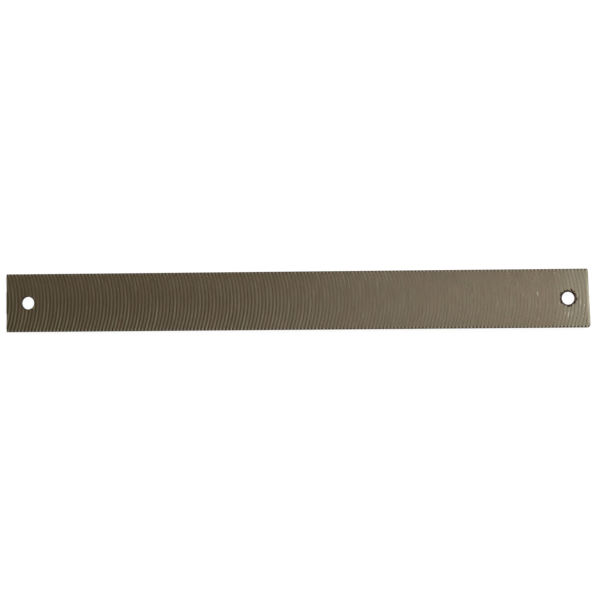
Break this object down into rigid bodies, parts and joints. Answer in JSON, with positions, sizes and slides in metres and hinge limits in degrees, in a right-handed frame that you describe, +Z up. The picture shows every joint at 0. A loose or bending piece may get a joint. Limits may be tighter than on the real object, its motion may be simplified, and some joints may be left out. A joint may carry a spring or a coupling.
{
  "type": "body file blade",
  "caption": "Flat steel blade for a body file holder, milled on both faces with curved teeth, with bevelled long edges and a screw hole near each end.",
  "frame": {"origin": "middle of the lower face, on the plane that the tips of the lower teeth rest on", "axes": "+X along the blade, the way its teeth point; +Y across the blade; +Z up through its thickness"},
  "size_m": [0.3499, 0.035, 0.004],
  "materials": {
    "steel": "milled and hardened, with a thin grey-brown oxide"
  },
  "bodies": {
    "root": {"blade": "steel"}
  },
  "joints": []
}
